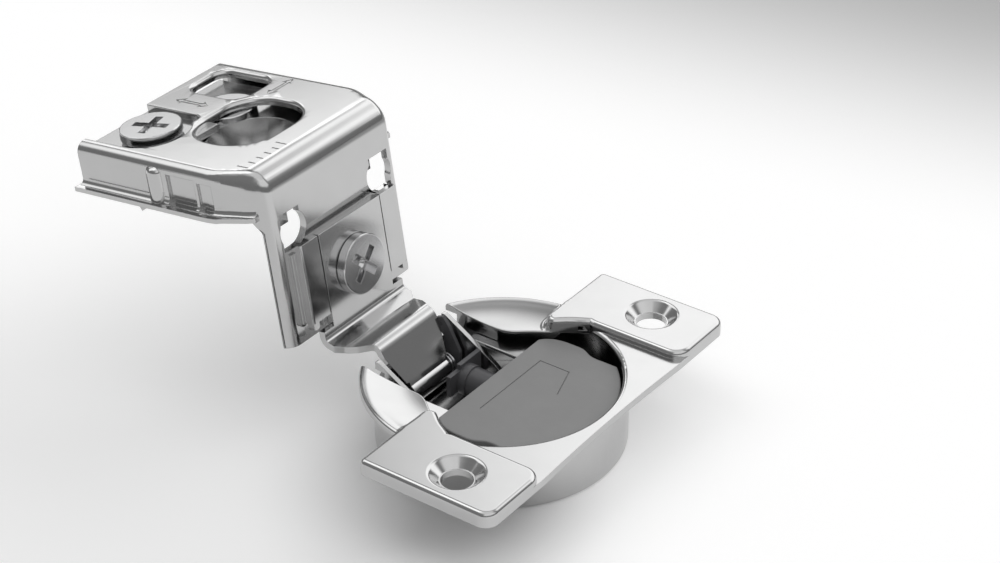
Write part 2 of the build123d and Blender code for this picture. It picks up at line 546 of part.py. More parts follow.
def make_bracket_cover():
    outer = flat_plate(bracket_plan(TOP_HALF, LEG_HALF, -TOP_LEN, 0, BEND_U), -WALL_DROP, 0)
    outer = outer + slab(-LEG_LIP, 0, -LEG_HALF, LEG_HALF, -LEG_LEN, 0)
    top_edges = outer.faces().sort_by(Axis.Z)[-1].edges()
    outer = soften(outer, [e for e in top_edges if e.center().X > -TOP_LEN + 0.1], FOLD_R)
    side = [e for e in outer.edges().filter_by(Axis.Z)
            if abs(e.center().X) < 0.1 and abs(abs(e.center().Y) - LEG_HALF) < 0.1]
    outer = soften(outer, side, 1.2)
    inner = flat_plate(bracket_plan(TOP_HALF - SHEET, LEG_HALF - SHEET, -TOP_LEN - 2, -SHEET, 5.5),
                       -WALL_DROP - 1, -SHEET)
    inner = inner + slab(-LEG_LIP - 8, -SHEET, -LEG_HALF + SHEET, LEG_HALF - SHEET, -LEG_LEN - 1, -SHEET)
    shell = outer - inner
    # foot flange along the side walls
    foot_out = flat_plate(bracket_plan(FOOT_OUT, LEG_HALF + 0.9, -TOP_LEN - 0.4, -1.0, 6.5),
                          -WALL_DROP - FOOT_T, -WALL_DROP + 0.01)
    foot_in = flat_plate(bracket_plan(TOP_HALF - SHEET, LEG_HALF - SHEET, -TOP_LEN - 2, 1, 5.5),
                         -WALL_DROP - FOOT_T - 1, -WALL_DROP + 1)
    foot = foot_out - foot_in
    foot = foot - slab(-1.2, 2, -20, 20, -12, 2)
    shell = shell + foot
    shell = shell + both(hollow_bead([(-TOP_LEN, TOP_HALF), (-BEND_U, TOP_HALF), (-NECK_U, LEG_HALF)], -WALL_DROP, FOOT_R))
    # pressed rib and stepped panel in each side wall
    rib = rod(-18.3, TOP_HALF - 0.75, -WALL_DROP, -0.9, 1.55)
    rib = soften(rib, [rib.faces().sort_by(Axis.Z)[-1].edges()[0]], 0.8)
    rib = rib & slab(-22, -14, TOP_HALF - 0.6, TOP_HALF + 3, -WALL_DROP, 0)
    panel = slab(-16.0, -10.8, TOP_HALF - 0.4, TOP_HALF + 2, -WALL_DROP + 0.1, -1.6)
    tongue = slab(-10.3, -7.7, TOP_HALF - 0.3, TOP_HALF + 2, -WALL_DROP + 0.1, -1.9)
    shell = shell + both(rib) - both(panel) - both(tongue)
    # openings in the top plate
    clear = HEAD_R + GAP + DEPTH_THROW
    far = slab(-TOP_LEN - 2, -DEPTH_U + NOTCH_DEEP, DEPTH_Y, DEPTH_Y + NOTCH_UP, -SHEET - 1, 2)
    corner = far.edges().filter_by(Axis.Z).sort_by_distance((-DEPTH_U + NOTCH_DEEP, DEPTH_Y + NOTCH_UP, 0))[0]
    near = slab(-TOP_LEN - 2, -DEPTH_U, DEPTH_Y - clear, DEPTH_Y, -SHEET - 1, 2)
    notch = soften(far, [corner], 1.2) + near + rod(-DEPTH_U, DEPTH_Y, -SHEET - 1, 2, clear)
    window = Pos(-SLOT_U, 0, 0) * extrude(RectangleRounded(13.2, 15.0, 6.0), amount=4, both=True)
    square = Pos(-25.7, 9.0, 0) * extrude(RectangleRounded(10.4, 8.0, 2.6), amount=4, both=True)
    shell = shell - window - square
    rims = [e for e in shell.edges()
            if abs(e.center().Z) < 0.01 and -31.5 < e.center().X < -7.4 and abs(e.center().Y) < 13.3]
    shell = soften(shell, rims, 0.6) - notch
    rims = [e for e in shell.edges() if abs(e.center().Z) < 0.01 and e.center().X < -DEPTH_U + clear
            and DEPTH_Y - clear - 0.1 < e.center().Y < DEPTH_Y + NOTCH_UP + 0.1 and e.length > 0.5
            and abs(e.center().X + TOP_LEN) > 0.1]
    shell = soften(shell, rims, 0.25)
    # windows in the leg, hole for the side screw and for the guide's rivets
    key = rod(0, 0, -3, 3, 2.6) + slab(-2.3, 0.2, -2.6, 2.9, -3, 3) + slab(0, 1.7, 0, 2.9, -3, 3)
    leg_side = Location((0, 9.2, -9.7), (0, -90, 0)) * Location((0, 0, 0), (0, 0, -90))
    keyhole = leg_side * key
    shell = shell - both(keyhole)
    shell = shell - rod_x(0, -SIDE_POS, -3, 2, 3.0)
    for down in (SIDE_POS - RIVET_AWAY, SIDE_POS + RIVET_AWAY):
        shell = shell - rod_x(0, -down, -3, 2, 0.9)
    # engraved double arrows that show which way each adjustment moves
    shell = shell - Pos(-26.6, 1.75, 0) * arrow_groove(6.2, 1.9, 1.4)
    shell = shell - Pos(-17.9, 11.0, 0) * Rot(0, 0, 90) * arrow_groove(5.8, 1.9, 1.4)
    # plain graduation lines along the fold
    for k in range(6):
        deep = 1.9 if k % 5 == 0 else 1.2
        shell = shell - slab(-3.7 - deep, -3.7, -12.1 + k * 1.6, -11.86 + k * 1.6, -0.12, 0.5)
    return bracket_frame * shell


def make_guide():
    """Guide plate on the leg: the arm's leaf slides between its two wings."""
    wall_in = LEAF_HALF + 0.19
    web = slab(0, GUIDE_T, -wall_in - 0.6, wall_in + 0.6, -LEG_LEN + 0.9, -LEAF_TOP - 0.4)
    wing = slab(0.9, 1.8, wall_in, WING_HALF, -WING_END, -LEAF_TOP)
    wing = soften(wing, [wing.edges().filter_by(Axis.Z).sort_by_distance((1.8, WING_HALF, -18))[0]], 0.35)
    jog = slab(0, 1.8, wall_in, wall_in + 0.7, -WING_END, -LEAF_TOP - 0.4)
    flange = slab(0, 1.7, WING_HALF - 0.5, WING_HALF, -WING_END, -LEAF_TOP)
    foot = slab(0, 0.35, WING_HALF - 0.1, WING_HALF + 0.5, -WING_END, -LEAF_TOP - 1.4)
    hook = slab(0.6, 1.8, WING_HALF - 1.1, WING_HALF, -WING_END - 1.0, -WING_END + 0.1)
    hook = soften(hook, hook.edges().filter_by(Axis.X).group_by(Axis.Z)[0], 0.45)
    guide = web + both(wing + jog + flange + foot + hook)
    guide = guide - rod_x(0, -SIDE_POS, -1, 1, SHANK_R + PIN_FIT)
    for down in (SIDE_POS - RIVET_AWAY, SIDE_POS + RIVET_AWAY):
        guide = guide - rod_x(0, -down, -1, 2, 0.9)
        guide = guide - Pos(GUIDE_T + 0.001, 0, -down) * Rot(0, -90, 0) * Cone(1.5, 0.9, 0.5, align=LOW)
    return bracket_frame * guide


def make_guide_rivets():
    rivets = None
    for down in (SIDE_POS - RIVET_AWAY, SIDE_POS + RIVET_AWAY):
        head = Pos(GUIDE_T, 0, -down) * Rot(0, -90, 0) * Cone(1.48, 0.89, 0.5, align=LOW)
        rivet = head + rod_x(0, -down, -SHEET, GUIDE_T - 0.4, 0.88)
        rivet = rivet + rod_x(0, -down, -SHEET - 0.5, -SHEET, 1.5)
        rivets = rivet if rivets is None else Compound(children=[rivets, rivet])
    return bracket_frame * rivets


def make_side_screw():
    face = 0.84 + ARM_T + 0.06
    head = rod_x(0, -SIDE_POS, face, face + HEAD_T, HEAD_R - 0.1)
    head = soften(head, head.edges().filter_by(GeomType.CIRCLE), 0.18)
    tool = cross_recess(0, 0, 0, 45)
    head = head - Pos(face + HEAD_T, 0, -SIDE_POS) * Rot(0, 90, 0) * tool
    cam = rod_x(SIDE_THROW, -SIDE_POS, GUIDE_T + 0.05, face + 0.01, CAM_R)
    shank = rod_x(0, -SIDE_POS, -0.1, GUIDE_T + 0.06, SHANK_R)
    tail = rod_x(0, -SIDE_POS, -0.95, -0.05, 2.4)
    return bracket_frame * (head + cam + shank + tail)


def make_slide_plate():
    """Plate under the notch that the depth screw's cam pushes."""
    plate = slab(-TOP_LEN, -DEPTH_U + 6.0, -TOP_HALF + SHEET, -0.6, -2 * SHEET + 0.1, -SHEET)
    reach = CAM_R + GAP
    slot = slab(-DEPTH_U - reach, -DEPTH_U + reach, DEPTH_Y + DEPTH_THROW / 2 - reach,
                DEPTH_Y + DEPTH_THROW + reach, -4, 0)
    slot = soften(slot, slot.edges().filter_by(Axis.Z), reach - 0.01)
    return bracket_frame * (plate - slot)


def make_base():
    """Plate that is screwed to the edge of the face frame."""
    top, low = -2.3, -3.4
    rail_out = TOP_HALF - SHEET - 0.8
    foot = -WALL_DROP - FOOT_T - 0.2
    web = slab(-TOP_LEN + 0.2, -4.6, -rail_out, rail_out, low, top)
    rail = slab(-TOP_LEN + 0.2, -6.2, rail_out - 1.0, rail_out, foot, top)
    rail = soften(rail, rail.edges().filter_by(Axis.X).group_by(Axis.Z)[-1].sort_by(Axis.Y)[-1:], 0.8)
    tab = slab(-4.7, -2.2, 7.7, 10.1, low, top) + slab(-3.2, -2.2, 7.7, 10.1, -9.7, top)
    tab = soften(tab, [tab.edges().filter_by(Axis.Y).sort_by_distance((-2.2, 8.9, top))[0]], 0.8)
    prong = Plane.XZ * Polyline((-24.7, foot + 0.1), (-24.7, -8.6), (-24.2, -9.6), (-22.6, foot + 0.1), close=True)
    prong = Pos(0, rail_out, 0) * extrude(make_face(prong), amount=1.0, dir=(0, -1, 0))
    base = web + both(rail + tab + prong)
    # dished seat for the mounting screw, with a slot along Y
    dish_out = Pos(-SLOT_U, 0, foot) * Cone(5.9, 7.2, top - foot, align=LOW)
    dish_in = Pos(-SLOT_U, 0, foot + SHEET) * Cone(4.9, 6.2, top - foot - SHEET + 0.01, align=LOW)
    slot = extrude(SlotOverall(9.2, 5.4, rotation=90), amount=3, both=True)
    base = base + dish_out - dish_in - Pos(-SLOT_U, 0, foot) * slot
    base = base - rod(-DEPTH_U, DEPTH_Y, low - 1, top + 1, SHANK_R + PIN_FIT)
    base = base - rod(-STUD_U, STUD_Y, low - 1, top + 1, 1.5)
    return bracket_frame * base


def make_depth_screw():
    head = rod(-DEPTH_U, DEPTH_Y, 0.8 - HEAD_T, 0.8, HEAD_R)
    head = soften(head, head.edges().filter_by(GeomType.CIRCLE), 0.18)
    head = head - cross_recess(-DEPTH_U, DEPTH_Y, 0.8, 15)
    neck = rod(-DEPTH_U, DEPTH_Y, -3.45, 0.9 - HEAD_T, SHANK_R)
    cam = rod(-DEPTH_U, DEPTH_Y + DEPTH_THROW, -2.25, -SHEET - 0.0, CAM_R)
    tail = rod(-DEPTH_U, DEPTH_Y, -4.2, -3.45, 2.2)
    return bracket_frame * (head + neck + cam + tail)


def make_stud():
    """Flat-headed stud that guides the bracket on its base."""
    head = rod(-STUD_U, STUD_Y, -2.3, -SHEET - 0.2, HEAD_R)
    head = soften(head, [head.edges().filter_by(GeomType.CIRCLE).sort_by(Axis.Z)[-1]], 0.2)
    stem = rod(-STUD_U, STUD_Y, -3.4, -2.2, 1.5)
    tail = rod(-STUD_U, STUD_Y, -4.1, -3.4, 2.2)
    return bracket_frame * (head + stem + tail)


parts = {
    "cup_shell": make_cup(),
    "pivot_carrier": make_carrier(),
    "pivot_pin": make_pin(),
    "torsion_spring_near": make_torsion_spring(-1),
    "torsion_spring_far": make_torsion_spring(1),
    "gooseneck_arm": make_arm(),
    "damper_actuator": make_actuator(),
    "soft_close_cover": make_cover(),
    "damper_tray": make_tray(),
    "damper_sled": make_sled(),
    "damper_rod": make_rod(),
    "damper_seal": make_seal(),
    "damper_spring": make_damper_spring(),
    "bracket_cover": make_bracket_cover(),
    "guide_plate": make_guide(),
    "guide_rivets": make_guide_rivets(),
    "side_screw": make_side_screw(),
    "slide_plate": make_slide_plate(),
    "base_plate": make_base(),
    "depth_screw": make_depth_screw(),
    "guide_stud": make_stud(),
}

for name, shape in parts.items():
    export_step(shape, f"parts/{name}.step")
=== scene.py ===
"""Looks of the concealed cup hinge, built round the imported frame.

Metres, in the frame's own axes: the origin is on the cup's axis in the plane
of the door's face, +X runs from the bracket to the front of the cup, Y along
the pivot pin, and +Z out of the door.
"""

import json
import logging
from dataclasses import dataclass, field
from enum import Enum
from math import cos, radians, sin
from typing import Union

import bmesh
import bpy
from mathutils import Matrix, Vector

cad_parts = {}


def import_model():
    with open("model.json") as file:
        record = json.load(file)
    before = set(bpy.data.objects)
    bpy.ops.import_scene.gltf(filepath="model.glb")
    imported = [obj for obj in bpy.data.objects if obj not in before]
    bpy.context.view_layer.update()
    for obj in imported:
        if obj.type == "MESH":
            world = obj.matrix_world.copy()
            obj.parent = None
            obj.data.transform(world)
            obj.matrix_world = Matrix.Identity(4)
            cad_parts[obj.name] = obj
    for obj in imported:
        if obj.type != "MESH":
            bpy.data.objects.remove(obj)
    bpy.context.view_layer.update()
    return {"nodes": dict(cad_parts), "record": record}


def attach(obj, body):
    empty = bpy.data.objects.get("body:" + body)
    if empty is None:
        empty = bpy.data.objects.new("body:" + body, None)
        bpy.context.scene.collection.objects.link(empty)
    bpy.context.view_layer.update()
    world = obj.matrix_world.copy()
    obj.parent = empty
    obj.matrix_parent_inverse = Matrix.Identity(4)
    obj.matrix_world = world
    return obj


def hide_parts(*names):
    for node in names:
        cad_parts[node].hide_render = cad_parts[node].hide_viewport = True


MM = 0.001
SAME_POINT = 0.0001 * MM
SHARP_EDGE = radians(32)
LOG = logging.getLogger("cup_hinge")


@dataclass(frozen=True)
class Grain:
    """Noise that breaks up a surface, with blotches about size_mm across."""

    size_mm: float
    detail: float
    rough: float
    stretch: tuple = (1.0, 1.0, 1.0)
    turn: tuple = (0.0, 0.0, 0.0)


class Sheen(Enum):
    """How a metal surface was finished before it was plated, as its fine grain.

    The satin lines run along X in the piece's own coordinates.
    """

    BRIGHT = Grain(1.6, 3.0, 0.55)
    SATIN = Grain(0.25, 4.0, 0.7, stretch=(0.12, 1.0, 1.0))
    TURNED = Grain(0.18, 3.0, 0.6)


class Socket:
    """A shader output that is combined with others by plain arithmetic."""

    def __init__(self, bench: "Bench", link: bpy.types.NodeSocket) -> None:
        """Wrap one output socket of a node tree."""
        self.bench = bench
        self.link = link

    def _math(self, operation: str, first: "Value", second: "Value" = 0.0) -> "Socket":
        """Add one Math node for the values."""
        return self.bench.node("ShaderNodeMath", {"operation": operation}, {0: first, 1: second})

    def __add__(self, other: "Value") -> "Socket":
        """Sum."""
        return self._math("ADD", self, other)

    def __radd__(self, other: "Value") -> "Socket":
        """Sum with a number on the left."""
        return self._math("ADD", other, self)

    def __sub__(self, other: "Value") -> "Socket":
        """Difference."""
        return self._math("SUBTRACT", self, other)

    def __rsub__(self, other: "Value") -> "Socket":
        """Difference from a number on the left."""
        return self._math("SUBTRACT", other, self)

    def __mul__(self, other: "Value") -> "Socket":
        """Product."""
        return self._math("MULTIPLY", self, other)

    def __rmul__(self, other: "Value") -> "Socket":
        """Product with a number on the left."""
        return self._math("MULTIPLY", other, self)

    def __pow__(self, other: "Value") -> "Socket":
        """Power."""
        return self._math("POWER", self, other)

    def size(self) -> "Socket":
        """The value without its sign."""
        return self._math("ABSOLUTE", self)

    def angle(self, other: "Value") -> "Socket":
        """Angle whose tangent is this value over the other."""
        return self._math("ARCTAN2", self, other)

    def arcsine(self) -> "Socket":
        """Angle whose sine is the value."""
        return self._math("ARCSINE", self)

    def clamp(self) -> "Socket":
        """The value held between 0 and 1."""
        return self.bench.node("ShaderNodeClamp", {}, {"Value": self})

    def ramp(self, start: float, end: float) -> "Socket":
        """A smooth rise from 0 at start to 1 at end."""
        low, high, first, last = (start, end, 0.0, 1.0) if start < end else (end, start, 1.0, 0.0)
        return self.bench.node("ShaderNodeMapRange", {"interpolation_type": "SMOOTHSTEP"}, {
            "Value": self, "From Min": low, "From Max": high, "To Min": first, "To Max": last})

    def along(self, axis: tuple) -> "Socket":
        """The part of a vector that lies along an axis."""
        return self.bench.node(
            "ShaderNodeVectorMath", {"operation": "DOT_PRODUCT"}, {0: self, 1: axis}, "Value")


Value = Union[Socket, float]


class Bench:
    """A node tree that is put together node by node."""

    def __init__(self, tree: bpy.types.NodeTree) -> None:
        """Take over a tree and empty it.

        Args:
            tree: the node tree of a material or a world.
        """
        self.tree = tree
        self.tree.nodes.clear()

    def node(self, kind: str, settings: dict, inputs: dict, output: Union[int, str] = 0) -> Socket:
        """Add any node.

        Args:
            kind: the node's type name.
            settings: the node's attributes, which are set first.
            inputs: values or links by socket name or number.
            output: the output that is wanted.

        Returns:
            The chosen output.
        """
        made = self.tree.nodes.new(kind)
        for name, value in settings.items():
            setattr(made, name, value)
        for name, value in inputs.items():
            socket = made.inputs[name]
            if isinstance(value, Socket):
                self.tree.links.new(value.link, socket)
            else:
                socket.default_value = value
        return Socket(self, made.outputs[output])

    def grey(self, level: Value) -> Socket:
        """A grey colour of one level."""
        return self.node("ShaderNodeCombineColor", {}, {0: level, 1: level, 2: level})

    def finish(self, kind: str, shader: Socket) -> None:
        """Connect a shader to the tree's output node."""
        out = self.tree.nodes.new(kind)
        self.tree.links.new(shader.link, out.inputs["Surface"])


class Surface(Bench):
    """A material that is put together node by node."""

    def __init__(self, name: str) -> None:
        """Make an empty node material.

        Args:
            name: the material's name.
        """
        self.material = bpy.data.materials.new(name)
        self.material.use_nodes = True
        super().__init__(self.material.node_tree)

    def here(self, turn: tuple = (0.0, 0.0, 0.0), stretch: tuple = (1.0, 1.0, 1.0)) -> Socket:
        """Object coordinates, turned and stretched.

        Args:
            turn: rotation in radians.
            stretch: scale along each axis.

        Returns:
            The mapped coordinates.
        """
        place = self.node("ShaderNodeTexCoord", {}, {}, "Object")
        return self.node("ShaderNodeMapping", {}, {"Vector": place, "Rotation": turn, "Scale": stretch})

    def noise(self, grain: Grain) -> Socket:
        """Noise of the given grain, fixed to the piece."""
        return self.node("ShaderNodeTexNoise", {}, {
            "Vector": self.here(grain.turn, grain.stretch), "Scale": 1.0 / (grain.size_mm * MM),
            "Detail": grain.detail, "Roughness": grain.rough})

    def worn_edge(self, radius_mm: float, samples: int = 4) -> Socket:
        """Normal that is rounded over the piece's sharp edges."""
        return self.node("ShaderNodeBevel", {"samples": samples}, {"Radius": radius_mm * MM})

    def bump(self, height: Socket, depth_mm: float, strength: float, under: Socket) -> Socket:
        """Normal from a height between 0 and 1, laid over another normal."""
        return self.node("ShaderNodeBump", {}, {
            "Height": height, "Distance": depth_mm * MM, "Strength": strength, "Normal": under})

    def mix(self, factor: Value, first: tuple, second: tuple) -> Socket:
        """Blend of two colours; 6 and 7 are the node's colour inputs and 2 its colour output."""
        return self.node("ShaderNodeMix", {"data_type": "RGBA"}, {
            0: factor, 6: (*first, 1.0), 7: (*second, 1.0)}, 2)

    def shade(self, **inputs: Union[Socket, float, tuple]) -> bpy.types.Material:
        """Finish the material with a Principled shader.

        Args:
            inputs: the shader's sockets, with _ for a space.

        Returns:
            The material.
        """
        named = {name.replace("_", " "): value for name, value in inputs.items()}
        self.finish("ShaderNodeOutputMaterial", self.node("ShaderNodeBsdfPrincipled", {}, named))
        return self.material


@dataclass(frozen=True)
class Metal:
    """Plated or bare steel.

    Clouds of slightly duller and rougher plating lie over the sheen's fine
    grain; cloud is how much they change the roughness.
    """

    name: str
    colour: tuple
    roughness: float
    sheen: Sheen
    clouds: Grain = Grain(4.0, 4.0, 0.6)
    cloud: float = 0.03
    fine_share: float = 0.6
    mean_share: float = 0.8
    dull_tone: float = 0.92
    grain_depth_mm: float = 0.0002
    grain_strength: float = 0.6
    edge_mm: float = 0.10

    def build(self) -> bpy.types.Material:
        """Make the material."""
        s = Surface(self.name)
        clouds, fine = s.noise(self.clouds), s.noise(self.sheen.value)
        least = self.roughness - self.cloud * self.mean_share
        rough = clouds * self.cloud + fine * (self.cloud * self.fine_share) + least
        tone = s.mix(clouds, self.colour, tuple(self.dull_tone * part for part in self.colour))
        normal = s.bump(fine, self.grain_depth_mm, self.grain_strength, s.worn_edge(self.edge_mm))
        return s.shade(Base_Color=tone, Metallic=1.0, Roughness=rough, Normal=normal)


@dataclass(frozen=True)
class Moulding:
    """Moulded plastic or rubber with a fine spark-eroded grain.

    The colour drifts with soft clouds and with the lines in which the melt
    flowed, and the gloss with these lines alone.
    """

    name: str
    colour: tuple
    roughness: float
    grain: Grain = Grain(0.16, 2.0, 0.6)
    clouds: Grain = Grain(5.0, 5.0, 0.6)
    flow: Grain = Grain(1.6, 4.0, 0.65, stretch=(0.35, 1.0, 1.0), turn=(0.0, 0.0, 0.5))
    cloud_share: float = 0.65
    flow_share: float = 0.45
    dark_tone: float = 0.86
    pale_tone: float = 1.1
    gloss_drift: float = 0.14
    depth_mm: float = 0.006
    grain_strength: float = 0.5
    edge_mm: float = 0.12

    def build(self) -> bpy.types.Material:
        """Make the material."""
        s = Surface(self.name)
        grain, clouds, flow = s.noise(self.grain), s.noise(self.clouds), s.noise(self.flow)
        dark = tuple(self.dark_tone * part for part in self.colour)
        pale = tuple(self.pale_tone * part for part in self.colour)
        tone = s.mix((clouds * self.cloud_share + flow * self.flow_share).clamp(), dark, pale)
        rough = flow * self.gloss_drift + (self.roughness - self.gloss_drift / 2)
        normal = s.bump(grain, self.depth_mm, self.grain_strength, s.worn_edge(self.edge_mm))
        return s.shade(Base_Color=tone, Roughness=rough, Normal=normal)


@dataclass
class Palette:
    """The finishes of this hinge, one for each material slot of the record."""

    finishes: dict = field(default_factory=lambda: {
        "plated_sheet": Metal("nickel_plate", (0.56, 0.56, 0.56), 0.14, Sheen.BRIGHT),
        "satin_sheet": Metal("satin_nickel", (0.54, 0.54, 0.54), 0.19, Sheen.SATIN),
        "screw_steel": Metal("screw_steel", (0.60, 0.60, 0.605), 0.17, Sheen.TURNED),
        "spring_steel": Metal("spring_wire", (0.45, 0.45, 0.46), 0.25, Sheen.SATIN),
        "cover_plastic": Moulding("grey_cover", (0.245, 0.245, 0.245), 0.62),
        "damper_plastic": Moulding("dark_damper", (0.085, 0.085, 0.09), 0.45),
        "seal_rubber": Moulding("black_seal", (0.02, 0.02, 0.02), 0.6),
    })
    made: dict = field(default_factory=dict)

    def material(self, slot: str) -> bpy.types.Material:
        """The material of a slot, made on first use."""
        if slot not in self.made:
            self.made[slot] = self.finishes[slot].build()
        return self.made[slot]

    def dress(self, piece: bpy.types.Object, slot: str) -> None:
        """Give a piece the slot's material."""
        piece.data.materials.clear()
        piece.data.materials.append(self.material(slot))


@dataclass(frozen=True)
class Softbox:
    """A soft patch of light on the world's sphere, seen from the hinge.

    Angles are in degrees; the bearing runs from +X towards +Y, and low and
    high are heights above the horizon.
    """

    bearing: float
    half_width: float
    low: float
    high: float
    level: float
    side_blur: float = 5.0
    low_blur: float = 3.0
    high_blur: float = 8.0

    def glow(self, way: Socket, height: Socket) -> Socket:
        """Light that the box sends from each direction.

        Args:
            way: the direction from the hinge.
            height: the direction's angle above the horizon.

        Returns:
            The radiance.
        """
        turn = radians(self.bearing)
        ahead, across = (cos(turn), sin(turn), 0.0), (-sin(turn), cos(turn), 0.0)
        aside = way.along(across).angle(way.along(ahead)).size()
        outer, inner = self.half_width + self.side_blur, self.half_width - self.side_blur
        wide = aside.ramp(radians(outer), radians(inner))
        over = height.ramp(radians(self.low - self.low_blur), radians(self.low + self.low_blur))
        under = height.ramp(radians(self.high + self.high_blur), radians(self.high - self.high_blur))
        return wide * over * under * self.level


@dataclass(frozen=True)
class Floor:
    """A wide pale floor that glows a little to the camera and to metal.

    Lengths are metres on the floor: along runs to the right of the picture
    and near towards the camera. Each pair of lengths is where a change
    starts and where it is complete.
    """

    height: float = -9.02 * MM
    half_size: float = 3.0
    along: tuple = (0.8068, 0.5907, 0.0)
    near: tuple = (0.595, -0.803, 0.0)
    tone: float = 0.84
    roughness: float = 0.9
    # the picture's far right corner lies in shade
    corner_slope: float = 0.548
    corner: tuple = (-0.088, -0.195)
    corner_shade: float = 0.33
    # painted shade: less glow towards the near left of the floor
    left_near: tuple = (-0.062, -0.012)
    left_along: tuple = (0.022, -0.030)
    left_shade_share: float = 0.5
    # painted shadow: no glow beside the cup, so the floor is darker there than the cup's cast shadow alone
    # makes it
    painted_shadow_along: float = -0.009
    painted_shadow_near: float = 0.014
    painted_shadow_reach: tuple = (0.007, 0.026)
    glow_to_camera: float = 0.29
    glow_to_metal: float = 0.26

    def build(self) -> None:
        """Make the floor."""
        mesh = bmesh.new()
        bmesh.ops.create_grid(mesh, x_segments=1, y_segments=1, size=self.half_size)
        bmesh.ops.translate(mesh, verts=mesh.verts, vec=(0, 0, self.height))
        floor = finish_mesh(mesh, "floor", smooth=False)
        floor.data.materials.append(self._paint())

    def _paint(self) -> bpy.types.Material:
        """Make the floor's material."""
        s = Surface("pale_floor")
        place = s.here()
        along, near = place.along(self.along), place.along(self.near)
        corner = (near - along * self.corner_slope).ramp(*self.corner)
        # painted shade: the floor glows less towards its near left
        painted_left_shade = near.ramp(*self.left_near) * along.ramp(*self.left_along)
        camera, glossy, through = (s.node("ShaderNodeLightPath", {}, {}, f"Is {name} Ray")
                                   for name in ("Camera", "Glossy", "Transmission"))
        # painted shadow: the glow fades out near the cup and darkens the floor there
        painted_shadow_distance = ((along - self.painted_shadow_along) ** 2.0 + (near - self.painted_shadow_near) ** 2.0) ** 0.5
        share = (1.0 - painted_left_shade * self.left_shade_share) * (1.0 - corner) * painted_shadow_distance.ramp(*self.painted_shadow_reach)
        glow = share * (camera * self.glow_to_camera + (glossy + through).clamp() * self.glow_to_metal)
        return s.shade(
            Base_Color=s.grey(self.tone - corner * self.corner_shade), Roughness=self.roughness,
            Specular_IOR_Level=0.0, Emission_Color=s.grey(glow), Emission_Strength=1.0)


@dataclass(frozen=True)
class SoftLight:
    """The world: white to the camera, and a dark studio with soft boxes to the hinge.

    The studio's level is room, and sky is added to it as it rises; both
    numbers of sky_rise are heights between -1 and 1.
    """

    room: float = 0.20
    sky: float = 0.08
    sky_rise: tuple = (-0.4, 0.9)
    boxes: tuple = (
        Softbox(bearing=90, half_width=40, low=16.5, high=50, level=1.38, side_blur=8),
        Softbox(bearing=143, half_width=13, low=17, high=26, level=1.9, high_blur=4),
        Softbox(bearing=178, half_width=30, low=34, high=72, level=1.3),
        Softbox(bearing=0, half_width=180, low=60, high=120, level=0.65, low_blur=10),
        Softbox(bearing=-20, half_width=48, low=25, high=60, level=0.75, side_blur=10, low_blur=6),
        Softbox(bearing=-135, half_width=40, low=0, high=6, level=0.35, high_blur=3),
    )

    def build(self) -> None:
        """Make the world and put it in the scene."""
        world = bpy.data.worlds.new("studio")
        world.use_nodes = True
        bpy.context.scene.world = world
        b = Bench(world.node_tree)
        way = b.node("ShaderNodeTexCoord", {}, {}, "Generated")
        rise = way.along((0.0, 0.0, 1.0))
        light = rise.ramp(*self.sky_rise) * self.sky + self.room
        for box in self.boxes:
            light = light + box.glow(way, rise.arcsine())
        room = b.node("ShaderNodeBackground", {}, {"Color": light, "Strength": 1.0})
        white = b.node("ShaderNodeBackground", {}, {"Color": (1, 1, 1, 1), "Strength": 1.0})
        seen = b.node("ShaderNodeLightPath", {}, {}, "Is Camera Ray")
        b.finish("ShaderNodeOutputWorld", b.node("ShaderNodeMixShader", {}, {0: seen, 1: room, 2: white}))


@dataclass(frozen=True)
class Viewpoint:
    """The photograph's camera, fitted to it; lens and sensor are millimetres."""

    place: tuple = (0.16289, -0.21989, 0.18936)
    right: tuple = (0.8068, 0.5907, -0.0090)
    up: tuple = (-0.3104, 0.4369, 0.8443)
    back: tuple = (0.5026, -0.6784, 0.5358)
    lens: float = 88.3
    sensor: float = 36.0
    sight: tuple = (0.01, 20.0)

    def build(self) -> None:
        """Make the camera and give it to the scene."""
        lens = bpy.data.cameras.new("camera")
        lens.lens, lens.sensor_width = self.lens, self.sensor
        lens.clip_start, lens.clip_end = self.sight
        camera = bpy.data.objects.new("camera", lens)
        turn = Matrix((self.right, self.up, self.back)).transposed().to_4x4()
        camera.matrix_world = Matrix.Translation(self.place) @ turn
        bpy.context.scene.collection.objects.link(camera)
        bpy.context.scene.camera = camera


@dataclass
class Studio:
    """Pale floor, soft light and the camera of the photograph."""

    floor: Floor = Floor()
    light: SoftLight = SoftLight()
    viewpoint: Viewpoint = Viewpoint()

    def build(self) -> None:
        """Make the floor, world and camera."""
        for part in (self.floor, self.light, self.viewpoint):
            part.build()
            LOG.info("made the %s", type(part).__name__.lower())
        bpy.context.scene.view_settings.view_transform = "Standard"


def finish_mesh(mesh: bmesh.types.BMesh, name: str, smooth: bool = True) -> bpy.types.Object:
    """Turn a bmesh into an object in the scene.

    Args:
        mesh: the shape; it is freed.
        name: the object's name.
        smooth: whether its faces are shaded smooth.

    Returns:
        The object.
    """
    bmesh.ops.recalc_face_normals(mesh, faces=mesh.faces)
    data = bpy.data.meshes.new(name)
    for face in mesh.faces:
        face.smooth = smooth
    mesh.to_mesh(data)
    mesh.free()
    made = bpy.data.objects.new(name, data)
    bpy.context.scene.collection.objects.link(made)
    return made


def merged_copy(node: bpy.types.Object) -> bmesh.types.BMesh:
    """A copy of a frame node's mesh with its points joined; the node's own mesh is left alone."""
    mesh = bmesh.new()
    mesh.from_mesh(node.data)
    bmesh.ops.remove_doubles(mesh, verts=mesh.verts, dist=SAME_POINT)
    return mesh


